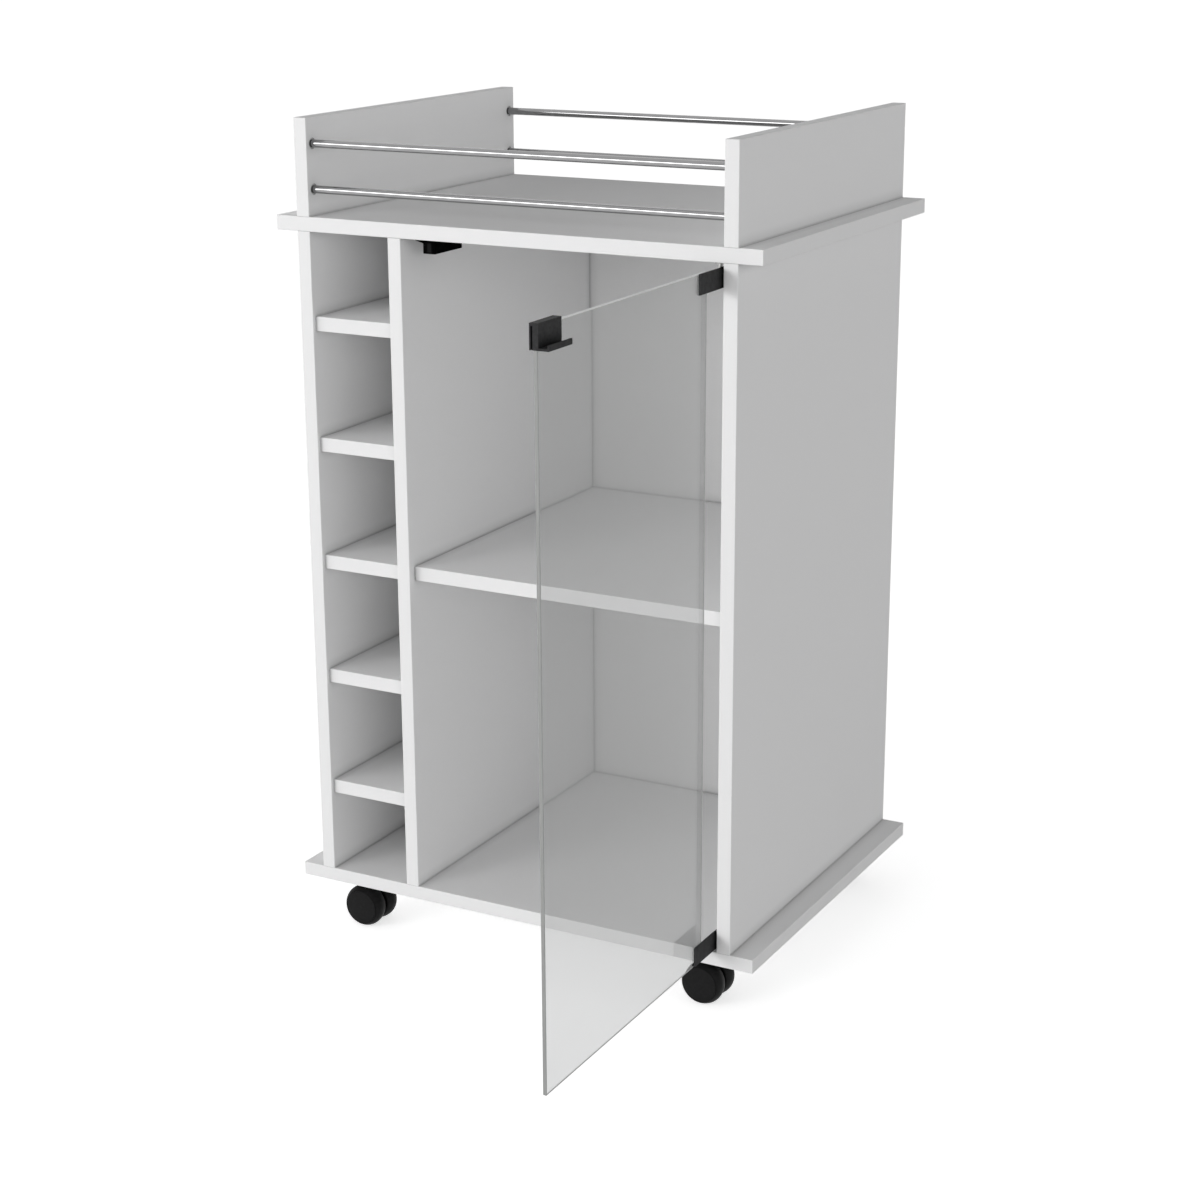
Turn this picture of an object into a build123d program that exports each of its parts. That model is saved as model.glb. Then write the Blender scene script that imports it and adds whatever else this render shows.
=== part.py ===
from build123d import *
from math import asin, degrees
import os

# Bar cart: a white board cabinet on four twin-wheel casters, with a column of bottle cubbies,
# a glass door on clip hinges and a railed tray on top.
# Millimetres, +Z up, +X to the right seen from the front, front towards -Y.
# The origin is on the floor, under the centre of the base panel.
# The door is modelled open at a right angle.

# Boards
board = 15.0  # thickness of every board
cart_width = 541.0  # top and base panels
cart_depth = 410.0
side_span = 491.0  # over the outer faces of the side panels
clear_height = 692.5  # base panel to top panel
guard_height = 98.0
caster_height = 54.5  # floor to base panel
edge_round = 0.8  # banded board edges

# Shelves
bottle_column = 93.0  # clear width of the bottle cubbies
bottle_shelf_count = 5
bottle_shelf_pitch = 126.0
bottle_shelf_setback = 5.0
middle_shelf_setback = 10.0
middle_shelf_play = 0.5  # gap at each end of the loose shelf

# Back panel, held in grooves
back_thickness = 3.0
back_inset = 16.0  # rear edge of the boards to the panel
groove_width = 3.2
groove_depth = 6.0
groove_play = 0.5  # gap at the sides and top of the panel

# Rails between the guards
rail_radius = 4.0
rail_inset = 10.5  # front or rear edge to the rail's axis
rail_heights = {"lower": 26.5, "upper": 72.0}  # tray to the rail's axis
rail_mouth_radius = 5.5
rail_mouth_depth = 1.0
rail_seat_depth = 11.0

# Glass door, measured from its turning axis
pivot_to_side = 6.0  # inner face of the side panel to the axis
pivot_to_front = 6.0  # front edges of the boards to the axis
glass_thickness = 4.0
glass_start = 32.0
glass_end = 344.1
glass_above_base = 1.2
glass_below_top = 4.5
glass_arris = 0.5

# Hinge clips: a block for the pin and a plate bonded to the outer face of the glass
clip_height = 19.5
clip_end = 49.5  # axis to the end of the plate
clip_tail = 4.5  # axis to the rounded end
clip_tail_round = 2.0
clip_plate = 1.3
clip_inner = 4.0  # axis to the inner face of the block
clip_to_glass = 1.0  # block to the edge of the glass
clip_edge_round = 0.4
clip_bevel = 6.0  # on the inner top edge of the block
clip_pad = 0.4
lower_clip_gap = 1.8  # base panel to the lower clip
upper_clip_gap = 4.2  # upper clip to the top panel, room to lift the door in

# Hinge pins and bushes
pin_radius = 2.0
pin_in_clip = 14.0
pin_in_panel = 7.0
pin_running_gap = 0.05
bush_radius = 3.5
bush_flange_radius = 5.0
bush_depth = 9.0
bush_floor = 1.0
lower_flange = 1.5
upper_flange = 0.8

# Handle, a clip over the free top corner of the glass with a finger lip
handle_end = 345.5  # axis to the end of the handle
handle_length = 38.7
handle_height = 22.4
handle_below_top = 1.7
handle_outer_wall = 1.1
handle_inner_wall = 1.4
handle_end_wall = 1.2
handle_outer_pad = 0.3
handle_inner_pad = 1.7
handle_bridge = 2.5
lip_reach = 10.0  # outer wall to the face of the lip
lip_height = 5.1
lip_floor = 2.0
lip_wall = 1.6
handle_edge_round = 0.4

# Grub screws that clamp the handle
grub_radius = 2.0
grub_key_radius = 1.15  # across the corners of the hexagon socket
grub_key_depth = 1.4
grub_recess = 0.2
grub_in_pad = 0.9
handle_grub_spread = 20.0
handle_grub_rise = 5.5  # lower edge of the handle to the screw

# Magnetic catch
catch_width = 14.0
catch_length = 50.0
catch_height = 15.0
catch_to_divider = 26.3  # divider to the middle of the catch
catch_gap = 0.3  # pole plates to the closed handle
catch_pole_proud = 0.5
catch_round = 0.5
ear_reach = 9.2
ear_length = 14.0
ear_tip = 2.4
ear_root = 4.8
magnet_width = 5.0
magnet_length = 16.0
magnet_height = 9.0
pole_thickness = 1.5
pole_drop = 1.5  # floor of the housing to the pole plates

# Fasteners
dowel_radius = 4.0
dowel_play = 0.5
dowel_chamfer = 0.8
dowel_in_end = 20.0
dowel_in_face = 10.0
guard_dowel_reach = 22.5
guard_dowel_ys = (-140.0, 140.0)
divider_dowel_ys = (-130.0, 130.0)
shelf_dowel_radius = 3.0
shelf_dowel_in_face = 9.0
shelf_dowel_in_end = 21.0
shelf_dowel_ys = (-120.0, 120.0)
base_screw_ys = (-130.0, 130.0)
base_screw_head_radius = 5.0
base_screw_shank_radius = 3.5
base_screw_core_radius = 2.5
base_screw_in_end = 35.0
base_screw_key_radius = 2.3
base_screw_key_depth = 3.0
shelf_pin_radius = 2.5
shelf_pin_in_face = 8.0
shelf_pin_reach = 8.0
shelf_pin_flat = 0.5
shelf_pin_ys = (-140.0, 140.0)
wood_screw_radius = 1.5
wood_screw_head_radius = 3.0
wood_screw_head_flat = 2.1
wood_screw_head_rim = 0.7
wood_screw_head_height = 1.8
wood_screw_in_panel = 8.0
wood_screw_slot_length = 2.8  # cross recess in the head
wood_screw_slot_width = 0.7
wood_screw_slot_depth = 1.0
screw_clearance = 0.25

# Casters
caster_x = 226.0  # swivel axis from the middle of the cart
caster_y = 172.0
caster_trail = 20.0  # swivel axis to axle
plate_size = 40.0
plate_thickness = 2.0
plate_corner = 5.0
plate_hole_spacing = 28.0
king_pin_radius = 3.5
king_pin_head_radius = 5.0
king_pin_head_height = 2.0
king_pin_length = 11.0
king_pin_head_gap = 0.4
swivel_gap = 0.3  # plate to yoke, and yoke to the head of the king pin
swivel_running_gap = 0.05
yoke_boss_radius = 8.0
yoke_boss_height = 9.5
yoke_web = 3.4
yoke_web_on_boss = 3.0
yoke_hub_radius = 8.0
hood_inner_radius = 24.2
hood_outer_radius = 26.4
hood_width = 30.0
hood_start = 75.0
hood_sweep = 30.0

# Wheels, crowned like a barrel, with a domed cap set into the outer side
wheel_radius = 23.0
wheel_width = 19.7
wheel_gap = 4.4  # between the two wheels of a caster
wheel_clearance = 0.8
outer_tread_radius = 11.4  # arc from the crown to the cap
outer_tread_turn = 48.9
inner_tread_radius = 16.2  # arc from the crown towards the other wheel
inner_shoulder_radius = 2.6
cap_radius = 18.5
cap_dome = 1.0
cap_ring_depth = 0.6
wheel_recess_outer = 15.0
wheel_recess_inner = 6.5
wheel_recess_depth = 10.0
axle_radius = 3.0
axle_length = 39.0
axle_running_gap = 0.05
axle_end_gap = 0.3

# Places worked out from the sizes above
front = -cart_depth / 2
rear = cart_depth / 2
base_top = caster_height + board
top_bottom = base_top + clear_height
tray = top_bottom + board
middle = base_top + clear_height / 2
side_outer = side_span / 2
side_inner = side_outer - board
side_middle = side_outer - board / 2
divider_left = bottle_column - side_inner
divider_right = divider_left + board
divider_middle = divider_left + board / 2
back_front = rear - back_inset - back_thickness
groove_y = rear - back_inset - groove_width / 2
back_half_width = side_inner + groove_depth - groove_play
shelf_ranks = range(-(bottle_shelf_count // 2), bottle_shelf_count // 2 + 1)
bottle_shelf_heights = [middle - rank * bottle_shelf_pitch for rank in shelf_ranks]
shelf_pin_z = middle - board / 2 - shelf_pin_radius + shelf_pin_flat
rail_ys = {"front": front + rail_inset, "rear": rear - rail_inset}
sides = {"left": -1, "right": 1}

pivot_x = side_inner - pivot_to_side
pivot_y = front + pivot_to_front
glass_bottom = base_top + glass_above_base
glass_top = top_bottom - glass_below_top
clip_outer = glass_thickness / 2 + clip_pad + clip_plate
clip_block_end = glass_start - clip_to_glass
clip_zs = {
    "lower": base_top + lower_clip_gap,
    "upper": top_bottom - upper_clip_gap - clip_height,
}
handle_y = pivot_y - handle_end
handle_top = top_bottom - handle_below_top
handle_bottom = handle_top - handle_height
handle_slot_outer = glass_thickness / 2 + handle_outer_pad
handle_slot_inner = glass_thickness / 2 + handle_inner_pad
handle_outer = handle_slot_outer + handle_outer_wall
handle_inner = handle_slot_inner + handle_inner_wall
catch_x = divider_right + catch_to_divider
pole_front = pivot_y + handle_inner + catch_gap
catch_front = pole_front + catch_pole_proud
pole_z = top_bottom - catch_height + pole_drop + magnet_height / 2
ear_screw_x = (catch_width + ear_reach) / 2
yoke_top = caster_height - plate_thickness - swivel_gap
wheel_inner = wheel_gap / 2
wheel_outer = wheel_inner + wheel_width
wheel_crown = wheel_inner + wheel_width / 2
inner_tread_turn = degrees(
    asin((wheel_width / 2 - inner_shoulder_radius) / (inner_tread_radius - inner_shoulder_radius))
)

UP, DOWN, LEFT, RIGHT = (0, 0, 1), (0, 0, -1), (-1, 0, 0), (1, 0, 0)
STANDING = (Align.CENTER, Align.CENTER, Align.MIN)
FROM_FRONT = (Align.CENTER, Align.MIN, Align.CENTER)
STANDING_FROM_FRONT = (Align.CENTER, Align.MIN, Align.MIN)

os.makedirs("parts", exist_ok=True)


def save(builder, name):
    """Label a finished piece and write it to its own file."""
    builder.part.label = name
    export_step(builder.part, f"parts/{name}.step")


def facing(out, points):
    """Drilling planes at the points, each looking out of the face that is drilled."""
    return [Plane(origin=point, z_dir=out) for point in points]


def upright(x, y, z):
    """A plane through the point with +X across and +Z up, for profiles turned or drawn out along Y."""
    return Plane(origin=(x, y, z), x_dir=(1, 0, 0), z_dir=(0, -1, 0))


def wood_screw_profile(grip):
    """Half section of a pan-head screw that holds a part of this grip, its head seated at height 0."""
    return [
        (0, -wood_screw_head_height),
        (wood_screw_head_flat, -wood_screw_head_height),
        (wood_screw_head_radius, -wood_screw_head_rim),
        (wood_screw_head_radius, 0),
        (wood_screw_radius, 0),
        (wood_screw_radius, grip + wood_screw_in_panel - 2 * wood_screw_radius),
        (0, grip + wood_screw_in_panel),
    ]


# Places of the fasteners
uprights_x = (-side_middle, divider_middle, side_middle)
base_screw_points = [(x, y) for x in uprights_x for y in base_screw_ys]
guard_dowel_points = [(sign * side_middle, y) for sign in sides.values() for y in guard_dowel_ys]
divider_dowel_points = [(divider_middle, y) for y in divider_dowel_ys]
caster_points = {
    f"{end}_{side}": (sides[side] * caster_x, y)
    for end, y in (("front", -caster_y), ("rear", caster_y))
    for side in sides
}
plate_offset = plate_hole_spacing / 2
caster_screw_points = [
    (x + across * plate_offset, y + along * plate_offset)
    for x, y in caster_points.values()
    for across in sides.values()
    for along in sides.values()
]
catch_screw_points = [
    (catch_x + sign * ear_screw_x, catch_front + ear_length / 2) for sign in sides.values()
]
shelf_dowel_points = [(y, z) for z in bottle_shelf_heights for y in shelf_dowel_ys]

# Base panel
with BuildPart() as base_panel:
    with Locations((0, 0, caster_height)):
        Box(cart_width, cart_depth, board, align=STANDING)
    fillet(base_panel.edges(), edge_round)
    with BuildSketch(Plane.XY.offset(base_top)):
        with Locations((0, groove_y)):
            Rectangle(2 * (side_inner + groove_depth), groove_width)
    extrude(amount=-groove_depth, mode=Mode.SUBTRACT)
    with Locations(*facing(DOWN, [(x, y, caster_height) for x, y in base_screw_points])):
        CounterSinkHole(base_screw_shank_radius, base_screw_head_radius, counter_sink_angle=90)
    with Locations(*facing(DOWN, [(x, y, caster_height) for x, y in caster_screw_points])):
        Hole(wood_screw_radius, wood_screw_in_panel)
    with Locations(*facing(UP, [(x, 0, base_top) for x in uprights_x])):
        Hole(dowel_radius, dowel_in_face)
    with Locations((pivot_x, pivot_y, base_top)):
        Hole(bush_radius, bush_depth)
save(base_panel, "base_panel")

# Top panel
with BuildPart() as top_panel:
    with Locations((0, 0, top_bottom)):
        Box(cart_width, cart_depth, board, align=STANDING)
    fillet(top_panel.edges(), edge_round)
    with BuildSketch(Plane.XY.offset(top_bottom)):
        with Locations((0, groove_y)):
            Rectangle(2 * (side_inner + groove_depth), groove_width)
    extrude(amount=groove_depth, mode=Mode.SUBTRACT)
    with Locations(*[(x, y, tray) for x, y in guard_dowel_points]):
        Hole(dowel_radius)
    with Locations(*facing(DOWN, [(x, y, top_bottom) for x, y in divider_dowel_points])):
        Hole(dowel_radius, dowel_in_face)
    with Locations(*facing(DOWN, [(x, y, top_bottom) for x, y in catch_screw_points])):
        Hole(wood_screw_radius, wood_screw_in_panel)
    with Locations(*facing(DOWN, [(pivot_x, pivot_y, top_bottom)])):
        Hole(bush_radius, bush_depth)
save(top_panel, "top_panel")

# Side panels
for side, sign in sides.items():
    inward = LEFT if sign > 0 else RIGHT
    with BuildPart() as side_panel:
        with Locations((sign * side_middle, 0, base_top)):
            Box(board, cart_depth, clear_height, align=STANDING)
        fillet(side_panel.edges().filter_by(Axis.Z), edge_round)
        with BuildSketch(Plane(origin=(sign * side_inner, groove_y, middle), x_dir=UP, z_dir=inward)):
            Rectangle(clear_height, groove_width)
        extrude(amount=-groove_depth, mode=Mode.SUBTRACT)
        with Locations(*[(sign * side_middle, y, top_bottom) for y in guard_dowel_ys]):
            Hole(dowel_radius, guard_dowel_reach)
        with Locations(*facing(DOWN, [(sign * side_middle, y, base_top) for y in base_screw_ys])):
            Hole(base_screw_core_radius, base_screw_in_end)
        with Locations(*facing(DOWN, [(sign * side_middle, 0, base_top)])):
            Hole(dowel_radius, dowel_in_end)
        if side == "left":
            with Locations(*facing(inward, [(-side_inner, y, z) for y, z in shelf_dowel_points])):
                Hole(shelf_dowel_radius, shelf_dowel_in_face)
        else:
            with Locations(*facing(inward, [(side_inner, y, shelf_pin_z) for y in shelf_pin_ys])):
                Hole(shelf_pin_radius, shelf_pin_in_face)
    save(side_panel, f"{side}_side_panel")

# Divider between the bottle cubbies and the cabinet
with BuildPart() as divider_panel:
    with Locations((divider_middle, front, base_top)):
        Box(board, back_front - front, clear_height, align=STANDING_FROM_FRONT)
    fillet(divider_panel.edges().filter_by(Axis.Z).group_by(Axis.Y)[0], edge_round)
    with Locations(*[(x, y, top_bottom) for x, y in divider_dowel_points]):
        Hole(dowel_radius, dowel_in_end)
    with Locations(*facing(DOWN, [(divider_middle, y, base_top) for y in base_screw_ys])):
        Hole(base_screw_core_radius, base_screw_in_end)
    with Locations(*facing(DOWN, [(divider_middle, 0, base_top)])):
        Hole(dowel_radius, dowel_in_end)
    with Locations(*facing(LEFT, [(divider_left, y, z) for y, z in shelf_dowel_points])):
        Hole(shelf_dowel_radius, shelf_dowel_in_face)
    with Locations(*facing(RIGHT, [(divider_right, y, shelf_pin_z) for y in shelf_pin_ys])):
        Hole(shelf_pin_radius, shelf_pin_in_face)
save(divider_panel, "divider_panel")

# Back panel, standing in the base panel's groove
with BuildPart() as back_panel:
    with Locations((0, back_front, base_top - groove_depth)):
        Box(
            2 * back_half_width,
            back_thickness,
            clear_height + 2 * groove_depth - groove_play,
            align=STANDING_FROM_FRONT,
        )
save(back_panel, "back_panel")

# Bottle shelves, counted from the top
bottle_shelf_front = front + bottle_shelf_setback
bottle_shelf_middle = divider_left - bottle_column / 2
for number, height in enumerate(bottle_shelf_heights, start=1):
    with BuildPart() as bottle_shelf:
        with Locations((bottle_shelf_middle, bottle_shelf_front, height)):
            Box(bottle_column, back_front - bottle_shelf_front, board, align=FROM_FRONT)
        fillet(bottle_shelf.edges().filter_by(Axis.X).group_by(Axis.Y)[0], edge_round)
        with Locations(*facing(LEFT, [(-side_inner, y, height) for y in shelf_dowel_ys])):
            Hole(shelf_dowel_radius, shelf_dowel_in_end)
        with Locations(*facing(RIGHT, [(divider_left, y, height) for y in shelf_dowel_ys])):
            Hole(shelf_dowel_radius, shelf_dowel_in_end)
    save(bottle_shelf, f"bottle_shelf_{number}")

# Middle shelf, lying on four pins
middle_shelf_front = front + middle_shelf_setback
with BuildPart() as middle_shelf:
    with Locations(((divider_right + side_inner) / 2, middle_shelf_front, middle)):
        Box(
            side_inner - divider_right - 2 * middle_shelf_play,
            back_front - middle_shelf_front,
            board,
            align=FROM_FRONT,
        )
    fillet(middle_shelf.edges().filter_by(Axis.X).group_by(Axis.Y)[0], edge_round)
save(middle_shelf, "middle_shelf")

# Guards on the tray, drilled for the rails
for side, sign in sides.items():
    inward = LEFT if sign > 0 else RIGHT
    rail_holes = [
        (sign * side_inner, y, tray + height)
        for y in rail_ys.values()
        for height in rail_heights.values()
    ]
    with BuildPart() as guard:
        with Locations((sign * side_middle, 0, tray)):
            Box(board, cart_depth, guard_height, align=STANDING)
        fillet(guard.edges() - guard.faces().sort_by(Axis.Z)[0].edges(), edge_round)
        with Locations(*facing(inward, rail_holes)):
            CounterBoreHole(rail_radius, rail_mouth_radius, rail_mouth_depth, rail_seat_depth)
        with Locations(*facing(DOWN, [(sign * side_middle, y, tray) for y in guard_dowel_ys])):
            Hole(dowel_radius, guard_dowel_reach)
    save(guard, f"{side}_guard")

# Rails
for end, y in rail_ys.items():
    for level, height in rail_heights.items():
        with BuildPart() as rail:
            with BuildSketch(Plane.YZ.offset(-side_inner - rail_seat_depth)):
                with Locations((y, tray + height)):
                    Circle(rail_radius)
            extrude(amount=2 * (side_inner + rail_seat_depth))
        save(rail, f"{end}_{level}_rail")

# Dowels through the top panel, from the guards into the side panels
with BuildPart() as guard_dowels:
    with Locations(*[(x, y, top_bottom + board / 2) for x, y in guard_dowel_points]):
        Cylinder(dowel_radius, board + 2 * (guard_dowel_reach - dowel_play))
    chamfer(guard_dowels.edges().filter_by(GeomType.CIRCLE), dowel_chamfer)
save(guard_dowels, "guard_dowels")

# Dowels between the uprights and the base panel, and between the divider and the top panel
dowel_length = dowel_in_face + dowel_in_end - 2 * dowel_play
with BuildPart() as panel_dowels:
    with Locations(*[(x, 0, base_top - dowel_in_face + dowel_play) for x in uprights_x]):
        Cylinder(dowel_radius, dowel_length, align=STANDING)
    with Locations(*[(x, y, top_bottom - dowel_in_end + dowel_play) for x, y in divider_dowel_points]):
        Cylinder(dowel_radius, dowel_length, align=STANDING)
    chamfer(panel_dowels.edges().filter_by(GeomType.CIRCLE), dowel_chamfer)
save(panel_dowels, "panel_dowels")

# Dowels at both ends of the bottle shelves
shelf_dowel_length = shelf_dowel_in_face + shelf_dowel_in_end - 2 * dowel_play
with BuildPart() as shelf_dowels:
    left_ends = [(-side_inner - shelf_dowel_in_face + dowel_play, y, z) for y, z in shelf_dowel_points]
    right_ends = [(divider_left - shelf_dowel_in_end + dowel_play, y, z) for y, z in shelf_dowel_points]
    with Locations(*facing(RIGHT, left_ends + right_ends)):
        Cylinder(shelf_dowel_radius, shelf_dowel_length, align=STANDING)
    chamfer(shelf_dowels.edges().filter_by(GeomType.CIRCLE), dowel_chamfer)
save(shelf_dowels, "shelf_dowels")

# Long screws from under the base panel into the uprights
with BuildPart() as base_screw:
    with BuildSketch(Plane.XZ):
        with BuildLine():
            Polyline(
                (0, 0),
                (base_screw_head_radius, 0),
                (base_screw_shank_radius, base_screw_head_radius - base_screw_shank_radius),
                (base_screw_shank_radius, board),
                (base_screw_core_radius, board),
                (base_screw_core_radius, board + base_screw_in_end - base_screw_core_radius),
                (0, board + base_screw_in_end),
                close=True,
            )
        make_face()
    revolve(axis=Axis.Z)
    with BuildSketch():
        RegularPolygon(base_screw_key_radius, 6)
    extrude(amount=base_screw_key_depth, mode=Mode.SUBTRACT)
with BuildPart() as base_screws:
    with Locations(*[(x, y, caster_height) for x, y in base_screw_points]):
        add(base_screw.part)
save(base_screws, "base_screws")

# Pins under the middle shelf, flattened where the shelf lies on them
with BuildPart() as shelf_pin:
    with BuildSketch(Plane.YZ.offset(-shelf_pin_in_face)):
        Circle(shelf_pin_radius)
    extrude(amount=shelf_pin_in_face + shelf_pin_reach)
    with BuildSketch(Plane.YZ):
        with Locations((0, shelf_pin_radius)):
            Rectangle(2 * shelf_pin_radius, 2 * shelf_pin_flat)
    extrude(amount=shelf_pin_reach, mode=Mode.SUBTRACT)
with BuildPart() as shelf_pins:
    with Locations(*[(divider_right, y, shelf_pin_z) for y in shelf_pin_ys]):
        add(shelf_pin.part)
    with Locations(*[Location((side_inner, y, shelf_pin_z), (0, 0, 180)) for y in shelf_pin_ys]):
        add(shelf_pin.part)
save(shelf_pins, "shelf_pins")

# Glass door with ground edges
with BuildPart() as door_glass:
    with Locations((pivot_x, pivot_y - glass_end, glass_bottom)):
        Box(
            glass_thickness,
            glass_end - glass_start,
            glass_top - glass_bottom,
            align=STANDING_FROM_FRONT,
        )
    chamfer(door_glass.edges(), glass_arris)
save(door_glass, "door_glass")

# Hinge clips
for level, z in clip_zs.items():
    with BuildPart() as hinge_clip:
        with BuildSketch(Plane.XY.offset(z)):
            with BuildLine():
                Polyline(
                    (pivot_x - clip_inner, pivot_y - clip_block_end),
                    (pivot_x - clip_inner, pivot_y + clip_tail),
                    (pivot_x + clip_outer, pivot_y + clip_tail),
                    (pivot_x + clip_outer, pivot_y - clip_end),
                    (pivot_x + clip_outer - clip_plate, pivot_y - clip_end),
                    (pivot_x + clip_outer - clip_plate, pivot_y - clip_block_end),
                    close=True,
                )
            make_face()
        extrude(amount=clip_height)
        upright_edges = hinge_clip.edges().filter_by(Axis.Z)
        fillet(upright_edges.group_by(Axis.Y)[-1], clip_tail_round)
        outer_face = hinge_clip.faces().filter_by(Axis.X).sort_by(Axis.X)[-1]
        fillet(outer_face.edges().filter_by(Axis.Y), clip_edge_round)
        with BuildSketch(upright(pivot_x, pivot_y + clip_tail, z + clip_height)):
            with BuildLine():
                Polyline(
                    (-clip_inner, 0),
                    (-clip_inner, -clip_bevel),
                    (clip_bevel - clip_inner, 0),
                    close=True,
                )
            make_face()
        extrude(amount=clip_tail + clip_block_end, mode=Mode.SUBTRACT)
        if level == "lower":
            pin_mouth = facing(DOWN, [(pivot_x, pivot_y, z)])
        else:
            pin_mouth = facing(UP, [(pivot_x, pivot_y, z + clip_height)])
        with Locations(*pin_mouth):
            Hole(pin_radius, pin_in_clip)
    save(hinge_clip, f"{level}_hinge_clip")

# Hinge pins, pressed into the clips
lower_pin_bottom = base_top - pin_in_panel
with BuildPart() as lower_hinge_pin:
    with Locations((pivot_x, pivot_y, lower_pin_bottom)):
        Cylinder(pin_radius, clip_zs["lower"] + pin_in_clip - lower_pin_bottom, align=STANDING)
save(lower_hinge_pin, "lower_hinge_pin")
upper_pin_bottom = clip_zs["upper"] + clip_height - pin_in_clip
with BuildPart() as upper_hinge_pin:
    with Locations((pivot_x, pivot_y, upper_pin_bottom)):
        Cylinder(pin_radius, top_bottom + pin_in_panel - upper_pin_bottom, align=STANDING)
save(upper_hinge_pin, "upper_hinge_pin")

# Flanged bushes for the pins, in the base panel and in the top panel
for level, mouth, flange in (
    ("lower", facing(UP, [(pivot_x, pivot_y, base_top)])[0], lower_flange),
    ("upper", facing(DOWN, [(pivot_x, pivot_y, top_bottom)])[0], upper_flange),
):
    with BuildPart() as hinge_bush:
        with BuildSketch(mouth.offset(-bush_depth)):
            Circle(bush_radius)
        extrude(amount=bush_depth)
        with BuildSketch(mouth):
            Circle(bush_flange_radius)
        extrude(amount=flange)
        with Locations(mouth.offset(flange)):
            Hole(pin_radius + pin_running_gap, flange + bush_depth - bush_floor)
    save(hinge_bush, f"{level}_hinge_bush")

# Handle: a drawn section with two walls over the glass and a floor that turns up into the lip,
# closed by a wall over the free edge of the glass
lip_face = handle_outer + lip_reach
with BuildPart() as door_handle:
    with BuildSketch(upright(pivot_x, handle_y, handle_bottom)):
        with BuildLine():
            Polyline(
                (-handle_inner, 0),
                (-handle_inner, handle_height),
                (handle_outer, handle_height),
                (handle_outer, lip_floor),
                (lip_face - lip_wall, lip_floor),
                (lip_face - lip_wall, lip_height),
                (lip_face, lip_height),
                (lip_face, 0),
                (handle_slot_outer, 0),
                (handle_slot_outer, handle_height - handle_bridge),
                (-handle_slot_inner, handle_height - handle_bridge),
                (-handle_slot_inner, 0),
                close=True,
            )
        make_face()
    extrude(amount=-handle_length)
    lip_edges = door_handle.faces().filter_by(Axis.X).sort_by(Axis.X)[-1].edges().filter_by(Axis.Y)
    top_edges = door_handle.faces().sort_by(Axis.Z)[-1].edges().filter_by(Axis.Y)
    fillet(lip_edges + top_edges, handle_edge_round)
    with Locations((pivot_x + handle_slot_outer, handle_y, handle_bottom)):
        Box(
            glass_thickness + handle_outer_pad,
            handle_end_wall,
            handle_height - handle_bridge,
            align=(Align.MAX, Align.MIN, Align.MIN),
        )
    handle_grub_points = [
        (
            pivot_x - handle_inner,
            handle_y + handle_length / 2 + sign * handle_grub_spread / 2,
            handle_bottom + handle_grub_rise,
        )
        for sign in sides.values()
    ]
    with Locations(*facing(LEFT, handle_grub_points)):
        Hole(grub_radius, handle_inner_wall)
save(door_handle, "door_handle")

# Pads: bonding tape between the glass and the clips, and soft pads on both faces inside the handle
pad_y = pivot_y - glass_end
pad_length = handle_y + handle_length - pad_y
pad_height = glass_top - handle_bottom
inner_pad_x = pivot_x - handle_slot_inner
with BuildPart() as clamp_pads:
    with Locations(*[(pivot_x + glass_thickness / 2, pivot_y - clip_end, z) for z in clip_zs.values()]):
        Box(clip_pad, clip_end - glass_start, clip_height, align=(Align.MIN, Align.MIN, Align.MIN))
    with Locations((pivot_x + glass_thickness / 2, pad_y, handle_bottom)):
        Box(handle_outer_pad, pad_length, pad_height, align=(Align.MIN, Align.MIN, Align.MIN))
    with Locations((inner_pad_x, pad_y, handle_bottom)):
        Box(handle_inner_pad, pad_length, pad_height, align=(Align.MIN, Align.MIN, Align.MIN))
    with Locations(*facing(LEFT, [(inner_pad_x, y, z) for _, y, z in handle_grub_points])):
        Hole(grub_radius, grub_in_pad)
save(clamp_pads, "clamp_pads")

# Grub screws, pressing on the inner pad of the handle
with BuildPart() as clamp_screws:
    for x, y, z in handle_grub_points:
        with BuildSketch(Plane(origin=(x + grub_recess, y, z), z_dir=LEFT)):
            Circle(grub_radius)
        extrude(amount=grub_recess - handle_inner_wall - grub_in_pad)
        with BuildSketch(Plane(origin=(x + grub_recess, y, z), z_dir=LEFT)):
            RegularPolygon(grub_key_radius, 6)
        extrude(amount=-grub_key_depth, mode=Mode.SUBTRACT)
save(clamp_screws, "clamp_screws")

# Magnetic catch: a moulded housing with two ears
catch_face = upright(catch_x, catch_front, top_bottom)
with BuildPart() as catch_housing:
    with BuildSketch(catch_face):
        Rectangle(catch_width, catch_height, align=(Align.CENTER, Align.MAX))
    extrude(amount=-catch_length)
    fillet(catch_housing.edges().filter_by(Axis.Y).group_by(Axis.Z)[0], catch_round)
    with BuildSketch(catch_face):
        with BuildLine():
            Polyline(
                (catch_width / 2 + ear_reach, 0),
                (catch_width / 2 + ear_reach, -ear_tip),
                (catch_width / 2, -ear_root),
                (-catch_width / 2, -ear_root),
                (-catch_width / 2 - ear_reach, -ear_tip),
                (-catch_width / 2 - ear_reach, 0),
                close=True,
            )
        make_face()
    extrude(amount=-ear_length)
    with BuildSketch(catch_face):
        with Locations((0, pole_z - top_bottom)):
            Rectangle(magnet_width + 2 * pole_thickness, magnet_height)
    extrude(amount=-magnet_length, mode=Mode.SUBTRACT)
    with Locations(*facing(DOWN, [(x, y, top_bottom - ear_root) for x, y in catch_screw_points])):
        CounterBoreHole(
            wood_screw_radius + screw_clearance,
            wood_screw_head_radius + screw_clearance,
            ear_root - ear_tip,
            ear_root,
        )
save(catch_housing, "catch_housing")

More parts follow.
